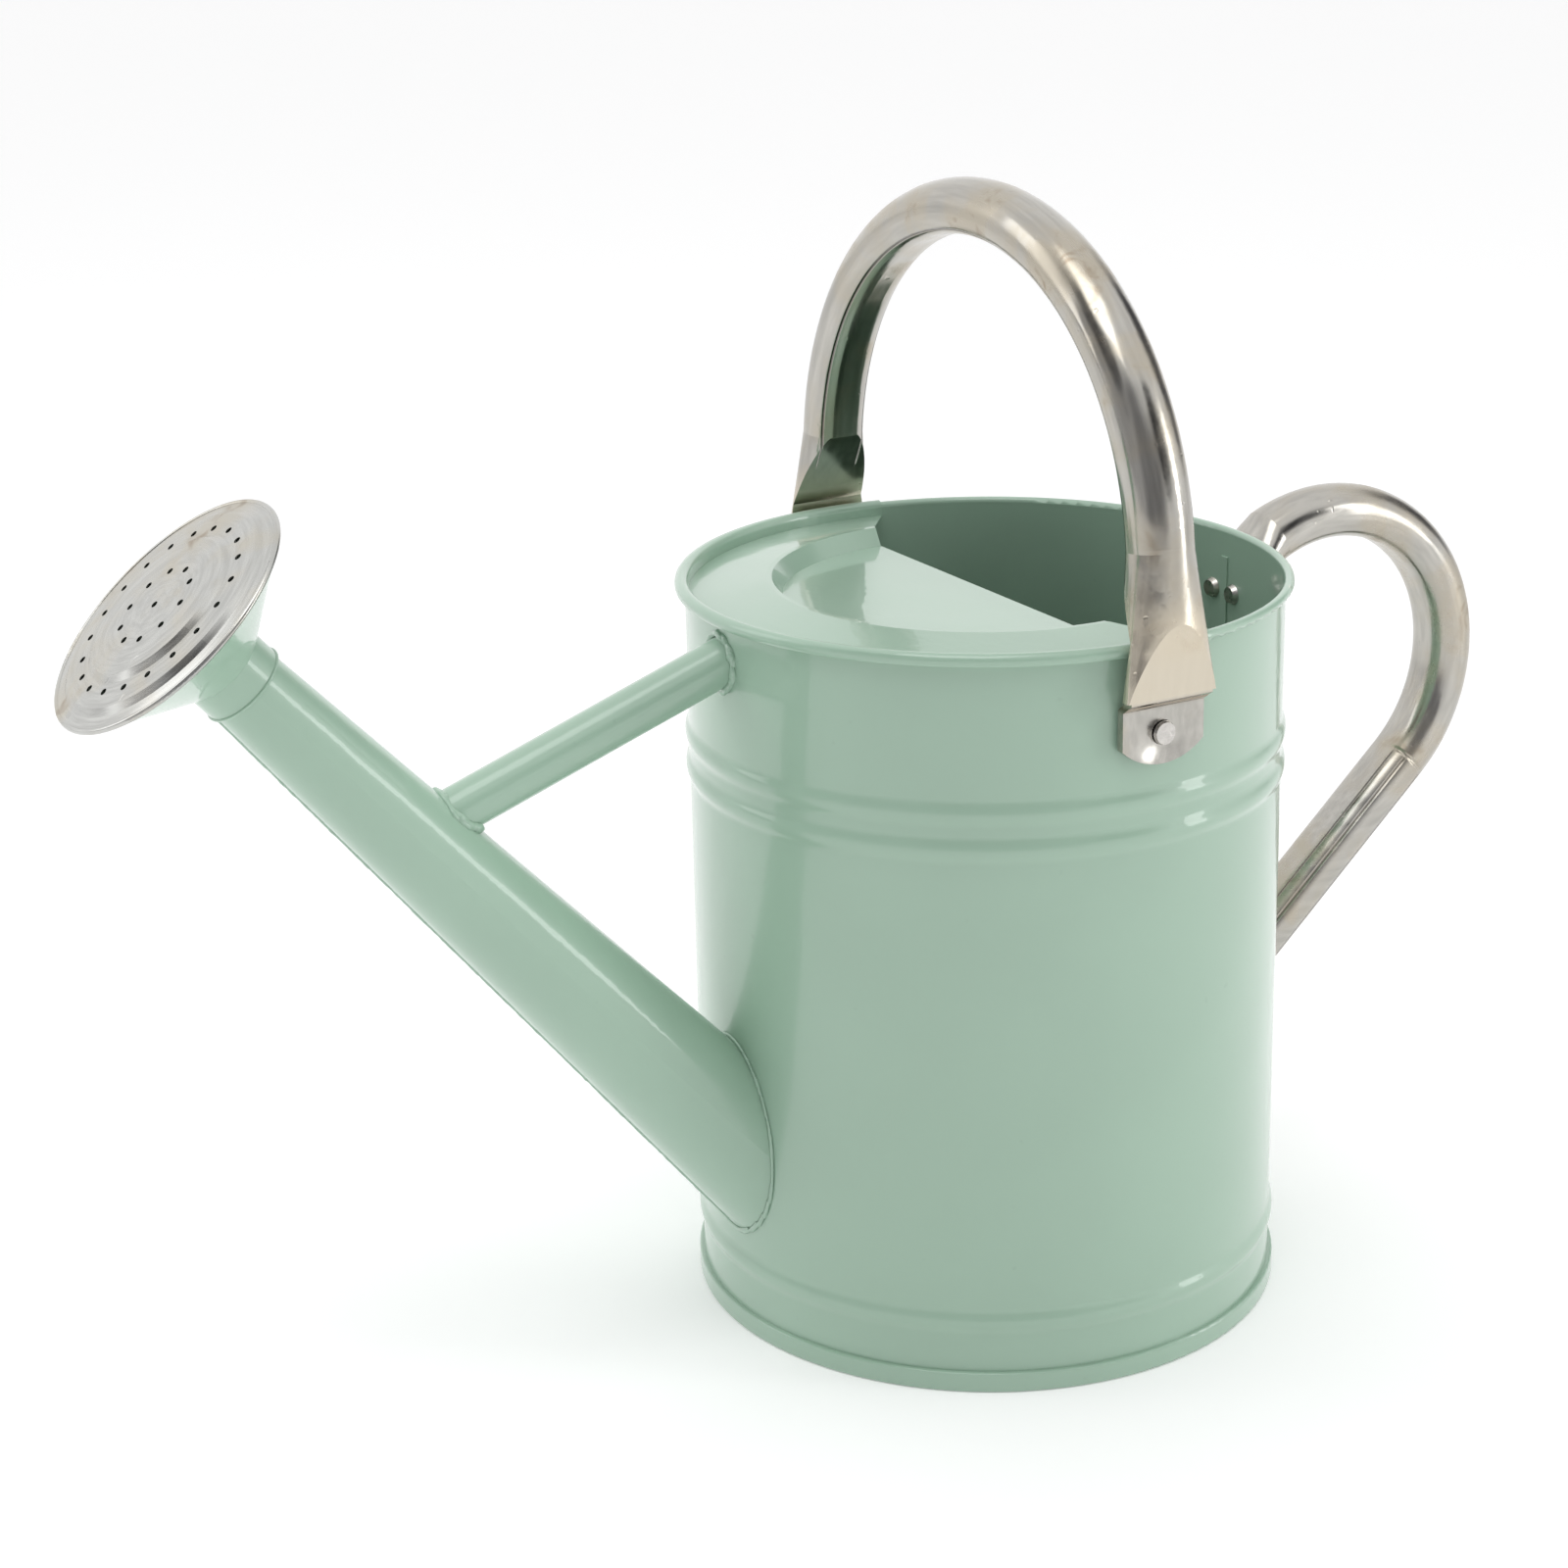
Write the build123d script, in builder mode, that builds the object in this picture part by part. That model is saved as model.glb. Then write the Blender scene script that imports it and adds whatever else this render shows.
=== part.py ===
"""Galvanised watering can, about 4.5 litres, with two tube handles and a pull-off rose.

Frame: millimetres, +Z up, origin at the centre of the base on the floor. The spout points
along -X, the rear handle along +X, and the bail handle swings about an axis along Y.
"""
import math
import os

from build123d import *

# ---------------------------------------------------------------- body
BODY_R = 88.5          # outside radius of the rolled wall
SHEET = 0.6            # sheet thickness of the wall, base and cover
HEIGHT = 223.0         # floor to the top of the rim curl
CURL_R = 1.5           # radius of the rolled rim
HEM_PROUD = 1.5        # how far the base seam stands out from the wall
HEM_HEIGHT = 6.0
BASE_RECESS = 5.0      # height of the base disc above the floor
BEAD_HEIGHTS = (21.5, 166.2, 176.8)   # swaged ribs of the wall
BEAD_PROUD = 1.1
BEAD_HALF = 4.4        # half the height of one rib
WALL_IN = BODY_R - SHEET
LAP_SKIN = 0.45        # lap of the wall's side seam, seen inside
LAP_ARC = 2.0          # its width in degrees
LAP_TOP = 214.0
CURL_CENTRE_R = WALL_IN + CURL_R
CURL_CENTRE_Z = HEIGHT - CURL_R

# ---------------------------------------------------------------- half cover
COVER_CHANNEL_Z = 218.4    # bottom of the groove just inside the rim
COVER_RIDGE_R = 63.3       # ring where the outer band steps down to the panel
COVER_RIDGE_Z = 222.2
COVER_PANEL_R = 59.5
COVER_PANEL_Z = 216.9
COVER_EDGE_ROLL = 1.2      # radius of the rolled straight edge
COVER_WING_X = 18.0        # how far the rim curl runs past the straight edge

# ---------------------------------------------------------------- spout
SPOUT_ANGLE = 49.0         # above the horizontal
SPOUT_FOOT = (-92.8, 68.2)  # x, z where the axis meets the wall
SPOUT_R_FOOT = 19.65
SPOUT_R_TIP = 11.0
SPOUT_TIP = 214.0          # distance from the foot to the tip
SPOUT_WALL = 0.7
SPOUT_BURIED = 45.0        # cone drawn past the foot before the wall trims it
WELD_LEG = 0.9

# ---------------------------------------------------------------- strut
STRUT_R = 7.0
STRUT_WALL = 0.9
STRUT_ANGLE = 19.3
STRUT_TOP = (-88.5, 208.8)  # x, z where the axis meets the body wall
STRUT_LENGTH = 92.0

# ---------------------------------------------------------------- rose
ROSE_R = 38.7              # outside radius of the rolled rim
ROSE_RIM_S = 237.8         # rim plane, measured along the spout axis
ROSE_ROLL = 0.8            # radius of the rolled rim
ROSE_SKIN = 0.5
COLLAR_START = 208.5       # along the spout axis
COLLAR_END = 217.0
COLLAR_R = 12.0
COLLAR_BEAD = 0.45
COLLAR_FIT = 0.05          # radial clearance of the collar on the spout tip
FACE_STEPS = ((34.2, 0.6), (32.2, 1.8), (24.4, 2.2), (22.4, 3.4))  # radius, rise over the rim
FACE_CENTRE_RISE = 3.9
HOLE_R = 1.0
HOLE_RINGS = ((1, 0.0, 0.0), (10, 12.0, 92.5), (20, 27.0, 110.0))  # count, radius, first angle

# ---------------------------------------------------------------- handle tube
TUBE_WIDE = 9.4            # half-width across the bend
TUBE_THIN = 8.0            # half-thickness in the plane of the bend
TUBE_WALL = 0.8
TUBE_CORNER = 0.82         # corner radius of the flattened inside, as a share of the half-thickness
FOOT_PLATE = 2.4           # two layers of crushed tube
RIVET_R = 2.0
RIVET_HEAD_R = 3.5         # outside head
RIVET_HEAD_H = 1.0
TUCK_HEAD_R = 3.2          # inside head
TUCK_HEAD_H = 1.6

# ---------------------------------------------------------------- bail handle
PIVOT_Z = 197.3
BAIL_ARC_R = 89.5
BAIL_ARC_Z = 240.3
BAIL_LEAN = 6.0            # degrees by which each leg splays outward
BAIL_CRUSH_Z = 248.5       # round tube above, crushed tube below
BAIL_PLATE_IN = 92.9       # inner face of the plate that clears the rim
BAIL_PLATE_W = 29.0
BAIL_STEP_Z = 207.5        # where the plate steps in to the tab
BAIL_TAB_GAP = 0.5         # tab to wall
BAIL_TAB_W = 27.0
BAIL_TAB_BELOW = 9.0       # tab below the pivot
PIVOT_FIT = 0.06

# ---------------------------------------------------------------- rear handle
REAR_ARC_C = (126.2, 172.6)
REAR_ARC_R = 50.8
REAR_ARC_TOP = 124.0       # arc ends, degrees from +X
REAR_ARC_LOW = -47.6
REAR_FOOT_W = 25.0
REAR_RIVET_PITCH = 10.4
REAR_RIVET_Z = (203.0, 62.0)
REAR_TAB_HALF = 9.5

os.makedirs("parts", exist_ok=True)


def save(part, name):
    """Label a finished piece and write it to its own STEP file."""
    part.label = name
    export_step(part, f"parts/{name}.step")


# ================================================================= body
def wall_line(inset):
    """Draw one face of the wall, from the hem to the curl, inset from the outside."""
    turn = 2 * math.degrees(math.atan(BEAD_PROUD / BEAD_HALF))
    bend = BEAD_HALF / (2 * math.sin(math.radians(turn)))
    here = (BODY_R - inset, HEM_HEIGHT)
    for height in BEAD_HEIGHTS:
        start = (BODY_R - inset, height - BEAD_HALF)
        Line(here, start)
        rise = JernArc(start=start, tangent=(0, 1), radius=bend, arc_size=-turn)
        crest = JernArc(start=rise @ 1, tangent=rise % 1, radius=bend, arc_size=2 * turn)
        fall = JernArc(start=crest @ 1, tangent=crest % 1, radius=bend, arc_size=-turn)
        here = fall @ 1
    return here


def spout_plane(along):
    """Plane square to the spout axis, at a distance from the spout's foot."""
    lean = math.radians(SPOUT_ANGLE)
    axis = Vector(-math.cos(lean), 0, math.sin(lean))
    foot = Vector(SPOUT_FOOT[0], 0, SPOUT_FOOT[1])
    return Plane(origin=foot + axis * along, x_dir=(0, -1, 0), z_dir=axis)


def spout_radius(along):
    """Outside radius of the spout at a distance from its foot."""
    return SPOUT_R_FOOT + (SPOUT_R_TIP - SPOUT_R_FOOT) * along / SPOUT_TIP


def spout_cone(start, end, grow=0.0):
    """Solid cone that follows the spout's taper, thicker or thinner by grow."""
    with BuildPart() as cone:
        for along in (start, end):
            with BuildSketch(spout_plane(along)):
                Circle(spout_radius(along) + grow)
        loft()
    return cone.part


def strut_rod(radius):
    """Solid rod along the strut's axis, long enough to reach into both neighbours."""
    lean = math.radians(STRUT_ANGLE)
    away = Vector(-math.cos(lean), 0, -math.sin(lean))
    top = Vector(STRUT_TOP[0], 0, STRUT_TOP[1])
    with BuildPart() as rod:
        with BuildSketch(Plane(origin=top - away * 12, z_dir=away)):
            Circle(radius)
        extrude(amount=STRUT_LENGTH + 24)
    return rod.part


def radial_plane(angle, radius, height):
    """Plane facing outward on the wall, its x axis level and its y axis up."""
    turn = math.radians(angle)
    out = Vector(math.cos(turn), math.sin(turn), 0)
    return Plane(origin=out * radius + Vector(0, 0, height), x_dir=(-out.Y, out.X, 0), z_dir=out)


rear_offset = math.degrees(REAR_RIVET_PITCH / 2 / BODY_R)
rear_rivet_places = [(side * rear_offset, z) for z in REAR_RIVET_Z for side in (-1, 1)]

with BuildPart() as side_lap:
    with BuildSketch(Plane.XZ.rotated((0, 0, -0.7 * LAP_ARC))):
        with BuildLine():
            Line(wall_line(SHEET / 2), (BODY_R - SHEET / 2, LAP_TOP))
            Line(wall_line(SHEET + LAP_SKIN), (WALL_IN - LAP_SKIN, LAP_TOP))
            Line((BODY_R - SHEET / 2, LAP_TOP), (WALL_IN - LAP_SKIN, LAP_TOP))
            Line((BODY_R - SHEET / 2, HEM_HEIGHT), (WALL_IN - LAP_SKIN, HEM_HEIGHT))
        make_face()
    revolve(axis=Axis.Z, revolution_arc=LAP_ARC)

with BuildPart() as body_shell:
    with BuildSketch(Plane.XZ) as wall_profile:
        with BuildLine():
            outer_top = wall_line(0)
            Line(outer_top, (BODY_R, CURL_CENTRE_Z - CURL_R / 2))
            Line((BODY_R, CURL_CENTRE_Z - CURL_R / 2), (WALL_IN, CURL_CENTRE_Z))
            inner_top = wall_line(SHEET)
            Line(inner_top, (WALL_IN, CURL_CENTRE_Z))
            Line((BODY_R, HEM_HEIGHT), (WALL_IN, HEM_HEIGHT))
        make_face()
    with BuildSketch(Plane.XZ) as curl_profile:
        with Locations((CURL_CENTRE_R, CURL_CENTRE_Z)):
            Circle(CURL_R)
    with BuildSketch(Plane.XZ) as hem_profile:
        with Locations((WALL_IN, 0)):
            Rectangle(SHEET + HEM_PROUD, HEM_HEIGHT, align=(Align.MIN, Align.MIN))
        fillet(hem_profile.vertices().sort_by(Axis.X)[2:], 0.6)
    revolve(axis=Axis.Z)
    add(side_lap.part)
    add(spout_cone(-SPOUT_BURIED, 20, -SPOUT_WALL), mode=Mode.SUBTRACT)
    for side in (-90, 90):
        with BuildSketch(radial_plane(side, BODY_R - 3, PIVOT_Z)):
            Circle(RIVET_R)
        extrude(amount=6, mode=Mode.SUBTRACT)
    for angle, height in rear_rivet_places:
        with BuildSketch(radial_plane(angle, BODY_R - 3, height)):
            Circle(RIVET_R)
        extrude(amount=6, mode=Mode.SUBTRACT)
save(body_shell.part, "body_shell")

with BuildPart() as base_disc:
    with BuildSketch(Plane.XZ):
        with BuildLine():
            Polyline(
                (0, BASE_RECESS),
                (WALL_IN - SHEET - 1.0, BASE_RECESS),
                (WALL_IN - SHEET, BASE_RECESS - 1.0),
                (WALL_IN - SHEET, 0.5),
                (WALL_IN, 0.5),
                (WALL_IN, BASE_RECESS - 0.7),
                (WALL_IN - 0.9, BASE_RECESS + SHEET),
                (0, BASE_RECESS + SHEET),
                close=True,
            )
        make_face()
    revolve(axis=Axis.Z)
save(base_disc.part, "base_disc")

# ================================================================= half cover
curl_out = CURL_R + SHEET
skirt_cut = 40.0    # how far the curl wraps below the level of its centre, in degrees


def on_curl(radius, angle):
    """Point on the rim curl's section, at an angle above the outward direction."""
    turn = math.radians(angle)
    return (CURL_CENTRE_R + radius * math.cos(turn), CURL_CENTRE_Z + radius * math.sin(turn))


with BuildPart() as top_cover:
    with BuildSketch(Plane.XZ):
        with BuildLine():
            Line(on_curl(CURL_R, -skirt_cut), on_curl(curl_out, -skirt_cut))
            ThreePointArc(on_curl(curl_out, -skirt_cut), on_curl(curl_out, 90), on_curl(curl_out, 180))
            ThreePointArc(on_curl(CURL_R, -skirt_cut), on_curl(CURL_R, 90), on_curl(CURL_R, 180))
            Polyline(
                on_curl(curl_out, 180),
                (WALL_IN - SHEET, COVER_CHANNEL_Z + SHEET),
                (COVER_RIDGE_R + 1.0, COVER_RIDGE_Z),
                (COVER_RIDGE_R - 0.6, COVER_RIDGE_Z),
                (COVER_PANEL_R, COVER_PANEL_Z),
                (0, COVER_PANEL_Z),
                (0, COVER_PANEL_Z - SHEET),
                (COVER_PANEL_R + 0.4, COVER_PANEL_Z - SHEET),
                (COVER_RIDGE_R, COVER_RIDGE_Z - SHEET),
                (COVER_RIDGE_R + 0.6, COVER_RIDGE_Z - SHEET),
                (WALL_IN - SHEET, COVER_CHANNEL_Z),
                (WALL_IN, COVER_CHANNEL_Z),
                on_curl(CURL_R, 180),
            )
        make_face()
    revolve(axis=Axis.Z)
    with BuildSketch(Plane.XY.offset(COVER_PANEL_Z - 5)):
        with BuildLine():
            Polyline(
                (0, -COVER_RIDGE_R),
                (0, COVER_RIDGE_R),
                (COVER_WING_X - 2, 86),
                (COVER_WING_X, 100),
                (-100, 100),
                (-100, -100),
                (COVER_WING_X, -100),
                (COVER_WING_X - 2, -86),
                close=True,
            )
        make_face()
    extrude(amount=20, mode=Mode.INTERSECT)
    with BuildSketch(Plane.XZ.offset(-COVER_PANEL_R)):
        with Locations((0, COVER_PANEL_Z - COVER_EDGE_ROLL)):
            Circle(COVER_EDGE_ROLL)
    extrude(amount=2 * COVER_PANEL_R)
save(top_cover.part, "top_cover")

# ================================================================= spout, strut and their welds
with BuildPart() as wall_core:
    Cylinder(BODY_R, HEIGHT + 40, align=(Align.CENTER, Align.CENTER, Align.MIN))
wall_plug = wall_core.part

with BuildPart() as weld_core:
    Cylinder(BODY_R + WELD_LEG, HEIGHT - 4, align=(Align.CENTER, Align.CENTER, Align.MIN))
weld_plug = weld_core.part

spout_solid = spout_cone(-SPOUT_BURIED, SPOUT_TIP)

with BuildPart() as spout_tube:
    add(spout_solid)
    add(spout_cone(-SPOUT_BURIED - 1, SPOUT_TIP + 1, -SPOUT_WALL), mode=Mode.SUBTRACT)
    add(wall_plug, mode=Mode.SUBTRACT)
save(spout_tube.part, "spout_tube")

with BuildPart() as spout_weld:
    add(spout_cone(-SPOUT_BURIED, 20, WELD_LEG))
    add(weld_plug, mode=Mode.INTERSECT)
    add(spout_solid, mode=Mode.SUBTRACT)
    add(wall_plug, mode=Mode.SUBTRACT)
save(spout_weld.part, "spout_weld")

with BuildPart() as strut_tube:
    add(strut_rod(STRUT_R))
    add(strut_rod(STRUT_R - STRUT_WALL), mode=Mode.SUBTRACT)
    add(wall_plug, mode=Mode.SUBTRACT)
    add(spout_solid, mode=Mode.SUBTRACT)
strut_middle = strut_tube.part.solids().sort_by(SortBy.VOLUME)[-1]
save(Part(strut_middle.wrapped), "strut_tube")

with BuildPart() as strut_weld_upper:
    add(strut_rod(STRUT_R + WELD_LEG))
    add(weld_plug, mode=Mode.INTERSECT)
    add(strut_rod(STRUT_R), mode=Mode.SUBTRACT)
    add(wall_plug, mode=Mode.SUBTRACT)
save(strut_weld_upper.part, "strut_weld_upper")

with BuildPart() as strut_weld_lower:
    add(strut_rod(STRUT_R + WELD_LEG))
    add(spout_cone(20, SPOUT_TIP - 20, WELD_LEG), mode=Mode.INTERSECT)
    add(strut_rod(STRUT_R), mode=Mode.SUBTRACT)
    add(spout_solid, mode=Mode.SUBTRACT)
save(strut_weld_lower.part, "strut_weld_lower")

# ================================================================= rose
spout_axis = Axis(spout_plane(0).origin, spout_plane(0).z_dir)
rose_section = Plane(
    origin=spout_plane(0).origin,
    x_dir=spout_plane(0).x_dir,
    z_dir=spout_plane(0).x_dir.cross(spout_plane(0).z_dir),
)

with BuildPart() as rose_collar:
    with BuildSketch(rose_section):
        with BuildLine():
            Polyline(
                (spout_radius(COLLAR_START) + COLLAR_FIT, COLLAR_START),
                (COLLAR_R, COLLAR_START),
                (COLLAR_R, COLLAR_END),
                (spout_radius(COLLAR_END) + COLLAR_FIT, COLLAR_END),
                close=True,
            )
        make_face()
        with Locations((COLLAR_R, COLLAR_START + COLLAR_BEAD)):
            Circle(COLLAR_BEAD)
    revolve(axis=spout_axis)
save(rose_collar.part, "rose_collar")

cone_top = (ROSE_R - ROSE_ROLL - 0.8, ROSE_RIM_S - ROSE_ROLL)
with BuildPart() as rose_cone:
    with BuildSketch(rose_section):
        with BuildLine():
            Polyline(
                (COLLAR_R - 0.9, COLLAR_END),
                (COLLAR_R, COLLAR_END),
                cone_top,
                (cone_top[0] - 1.0, cone_top[1]),
                close=True,
            )
        make_face()
    revolve(axis=spout_axis)
save(rose_cone.part, "rose_cone")

flange_start = (ROSE_R - 1.6 * ROSE_ROLL, 0.0)
with BuildPart() as rose_face:
    with BuildSketch(rose_section):
        with BuildLine():
            front = [flange_start, *FACE_STEPS]
            outside = [(radius, ROSE_RIM_S + rise + ROSE_SKIN) for radius, rise in front]
            inside = [(radius, ROSE_RIM_S + rise) for radius, rise in front]
            Polyline(*outside)
            Polyline(*inside)
            Line(outside[0], inside[0])
            top = ROSE_RIM_S + FACE_CENTRE_RISE
            ThreePointArc(outside[-1], (11.5, top + ROSE_SKIN - 0.12), (0, top + ROSE_SKIN))
            ThreePointArc(inside[-1], (11.5, top - 0.12), (0, top))
            Line((0, top), (0, top + ROSE_SKIN))
        make_face()
    with BuildSketch(rose_section):
        with Locations((ROSE_R - ROSE_ROLL, ROSE_RIM_S)):
            Circle(ROSE_ROLL)
    revolve(axis=spout_axis)
    for count, ring, first in HOLE_RINGS:
        with BuildSketch(spout_plane(ROSE_RIM_S - 1)):
            with PolarLocations(ring, count, start_angle=first):
                Circle(HOLE_R)
        extrude(amount=8, mode=Mode.SUBTRACT)
save(rose_face.part, "rose_face")

# ================================================================= bail handle
def tube_outline(wide, thin, flat):
    """Section of a bent tube: round outside the bend, flattened on its inside.

    flat is 1 or -1, the way along y that the flattened side faces.
    """
    EllipticalCenterArc((0, 0), wide, thin, start_angle=90 + 90 * flat, arc_size=180)
    FilletPolyline(
        (wide, 0),
        (wide, flat * thin),
        (-wide, flat * thin),
        (-wide, 0),
        radius=TUBE_CORNER * thin,
    )


lean = math.radians(BAIL_LEAN)
bail_arc_end = Vector(0, BAIL_ARC_R * math.cos(lean), BAIL_ARC_Z + BAIL_ARC_R * math.sin(lean))
bail_leg_dir = Vector(0, math.sin(lean), -math.cos(lean))
bail_leg_end = bail_arc_end + bail_leg_dir * ((bail_arc_end.Z - BAIL_CRUSH_Z) / math.cos(lean))
plate_out = BAIL_PLATE_IN + FOOT_PLATE
tab_in = BODY_R + BAIL_TAB_GAP
tab_out = tab_in + FOOT_PLATE
crush_in = (bail_leg_end.Y - TUBE_THIN, BAIL_CRUSH_Z)       # where the inner facet starts
crush_out_z = 234.0                                         # apex of the outer facet
rim_clear_z = HEIGHT + 2.0

with BuildLine(Plane.YZ) as bail_path:
    Line((-bail_leg_end.Y, bail_leg_end.Z), (-bail_arc_end.Y, bail_arc_end.Z))
    ThreePointArc(
        (-bail_arc_end.Y, bail_arc_end.Z),
        (0, BAIL_ARC_Z + BAIL_ARC_R),
        (bail_arc_end.Y, bail_arc_end.Z),
    )
    Line((bail_arc_end.Y, bail_arc_end.Z), (bail_leg_end.Y, bail_leg_end.Z))

with BuildPart() as bail_foot:
    for centre, heading, wide, thin in (
        (bail_leg_end, bail_leg_dir, TUBE_WIDE, TUBE_THIN),
        ((0, 94.1, BAIL_STEP_Z + 1), (0, 0, -1), BAIL_PLATE_W / 2 + 0.3, 6.5),
    ):
        with BuildSketch(Plane(origin=centre, x_dir=(1, 0, 0), z_dir=heading)):
            with BuildLine():
                tube_outline(wide, thin, 1)
            make_face()
    loft()
    # flat facets left by the press, inside and outside, down to the plate
    with BuildSketch(Plane.YZ):
        with BuildLine():
            Polyline(
                (60, BAIL_CRUSH_Z),
                crush_in,
                (BAIL_PLATE_IN, rim_clear_z),
                (BAIL_PLATE_IN, 200),
                (60, 200),
                close=True,
            )
        make_face()
        with BuildLine():
            Polyline(
                (101, crush_out_z + 10),
                (plate_out, BAIL_STEP_Z),
                (plate_out, 200),
                (120, 200),
                (120, crush_out_z + 10),
                close=True,
            )
        make_face()
    extrude(amount=30, both=True, mode=Mode.SUBTRACT)

with BuildPart() as bail_tab:
    with BuildSketch(Plane.YZ):
        with BuildLine():
            Polyline(
                (plate_out, BAIL_STEP_Z + 2.5),
                (BAIL_PLATE_IN, BAIL_STEP_Z + 2.5),
                (BAIL_PLATE_IN, BAIL_STEP_Z + 1.0),
                (tab_in, BAIL_STEP_Z - 2.0),
                (tab_in, PIVOT_Z - BAIL_TAB_BELOW),
                (tab_out, PIVOT_Z - BAIL_TAB_BELOW),
                (tab_out, BAIL_STEP_Z - 2.6),
                (plate_out, BAIL_STEP_Z + 0.2),
                close=True,
            )
        make_face()
    extrude(amount=BAIL_TAB_W / 2, both=True)
    with BuildSketch(Plane.XZ) as tab_outline:
        with BuildLine():
            half = BAIL_TAB_W / 2
            Polyline((-half, PIVOT_Z - 3.6), (-half, 220), (half, 220), (half, PIVOT_Z - 3.6))
            ThreePointArc((-half, PIVOT_Z - 3.6), (0, PIVOT_Z - BAIL_TAB_BELOW), (half, PIVOT_Z - 3.6))
        make_face()
    extrude(amount=-120, mode=Mode.INTERSECT)
    with BuildSketch(Plane.XZ.offset(-(tab_in - 2))):
        with Locations((0, PIVOT_Z)):
            Circle(RIVET_R + PIVOT_FIT)
    extrude(amount=-(FOOT_PLATE + 4), mode=Mode.SUBTRACT)

with BuildPart() as bail_tube:
    with BuildSketch(Plane(origin=bail_path.line @ 0, x_dir=(1, 0, 0), z_dir=bail_path.line % 0)):
        with BuildLine():
            tube_outline(TUBE_WIDE, TUBE_THIN, 1)
        make_face()
        with BuildLine():
            tube_outline(TUBE_WIDE - TUBE_WALL, TUBE_THIN - TUBE_WALL, 1)
        make_face(mode=Mode.SUBTRACT)
    sweep(path=bail_path.line)
    for foot in (bail_foot.part, bail_tab.part):
        add(foot)
        add(foot.mirror(Plane.XZ))
save(bail_tube.part, "bail_handle")


def rivet(plane, grip, name):
    """Rivet on a plane facing outward, its shank through the wall and grip mm beyond it."""
    with BuildPart() as pin:
        with BuildSketch(plane.offset(-SHEET - 0.5)):
            Circle(RIVET_R)
        extrude(amount=SHEET + 0.5 + grip)
        with BuildSketch(plane.offset(grip)):
            Circle(RIVET_HEAD_R)
        extrude(amount=RIVET_HEAD_H, taper=20)
        with BuildSketch(plane.offset(-SHEET - 0.08)):
            Circle(TUCK_HEAD_R)
        extrude(amount=-TUCK_HEAD_H, taper=25)
    save(pin.part, name)


rivet(radial_plane(-90, BODY_R, PIVOT_Z), BAIL_TAB_GAP + FOOT_PLATE + 0.3, "bail_rivet_near")
rivet(radial_plane(90, BODY_R, PIVOT_Z), BAIL_TAB_GAP + FOOT_PLATE + 0.3, "bail_rivet_far")

# ================================================================= rear handle


def on_rear_arc(angle):
    """Point of the rear handle's bend, at an angle from +X."""
    turn = math.radians(angle)
    return (REAR_ARC_C[0] + REAR_ARC_R * math.cos(turn), REAR_ARC_C[1] + REAR_ARC_R * math.sin(turn))


def rear_section(spot, heading, half_wide, half_thin, flat):
    """Section of the rear handle at a spot, square to its heading in degrees."""
    turn = math.radians(heading)
    along = Vector(math.cos(turn), 0, math.sin(turn))
    with BuildSketch(Plane(origin=(spot[0], 0, spot[1]), x_dir=(0, 1, 0), z_dir=along)) as section:
        with BuildLine():
            tube_outline(half_wide, half_thin, flat)
        make_face()
    return section.sketch


arm_heading = REAR_ARC_LOW - 90
arm_start = Vector(*on_rear_arc(REAR_ARC_LOW))
arm_dir = Vector(math.cos(math.radians(arm_heading)), math.sin(math.radians(arm_heading)))
arm_end = arm_start + arm_dir * 76
top_end = on_rear_arc(REAR_ARC_TOP - 9)

with BuildLine(Plane.XZ) as rear_path:
    ThreePointArc(top_end, on_rear_arc(40), on_rear_arc(REAR_ARC_LOW))
    Line(on_rear_arc(REAR_ARC_LOW), (arm_end.X, arm_end.Y))

with BuildPart() as rear_top_foot:
    loft(
        sections=[
            rear_section(top_end, REAR_ARC_TOP - 9 + 90, TUBE_WIDE, TUBE_THIN, 1),
            rear_section((96.8, 213.6), 222, 11.4, 4.4, 1),
            rear_section((90.2, 209.0), 258, REAR_FOOT_W / 2, 1.4, 1),
        ]
    )
    add(wall_plug, mode=Mode.SUBTRACT)

with BuildPart() as rear_low_foot:
    loft(
        sections=[
            rear_section((arm_end.X, arm_end.Y), arm_heading, TUBE_WIDE, TUBE_THIN, -1),
            rear_section((97.4, 77.0), arm_heading, 11.4, 4.4, -1),
            rear_section((90.2, 68.0), 258, REAR_FOOT_W / 2, 1.4, -1),
        ]
    )
    add(wall_plug, mode=Mode.SUBTRACT)


def rear_tab(height):
    """Curved riveting tab that lies on the wall, centred on a row of two rivets."""
    with BuildPart() as tab:
        Cylinder(BODY_R + FOOT_PLATE, HEIGHT, align=(Align.CENTER, Align.CENTER, Align.MIN))
        Cylinder(BODY_R, HEIGHT, align=(Align.CENTER, Align.CENTER, Align.MIN), mode=Mode.SUBTRACT)
        with BuildSketch(Plane.YZ.offset(BODY_R - 6)):
            with Locations((0, height)):
                RectangleRounded(REAR_FOOT_W, 2 * REAR_TAB_HALF, 4.0)
        extrude(amount=20, mode=Mode.INTERSECT)
        for side in (-1, 1):
            with BuildSketch(radial_plane(side * rear_offset, BODY_R - 3, height)):
                Circle(RIVET_R)
            extrude(amount=10, mode=Mode.SUBTRACT)
    return tab.part


with BuildPart() as rear_handle:
    with BuildSketch(Plane(origin=rear_path.line @ 0, x_dir=(0, 1, 0), z_dir=rear_path.line % 0)):
        with BuildLine():
            tube_outline(TUBE_WIDE, TUBE_THIN, -1)
        make_face()
        with BuildLine():
            tube_outline(TUBE_WIDE - TUBE_WALL, TUBE_THIN - TUBE_WALL, -1)
        make_face(mode=Mode.SUBTRACT)
    sweep(path=rear_path.line)
    add(rear_top_foot.part)
    add(rear_low_foot.part)
    for height in REAR_RIVET_Z:
        add(rear_tab(height))
save(rear_handle.part, "rear_handle")

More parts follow.
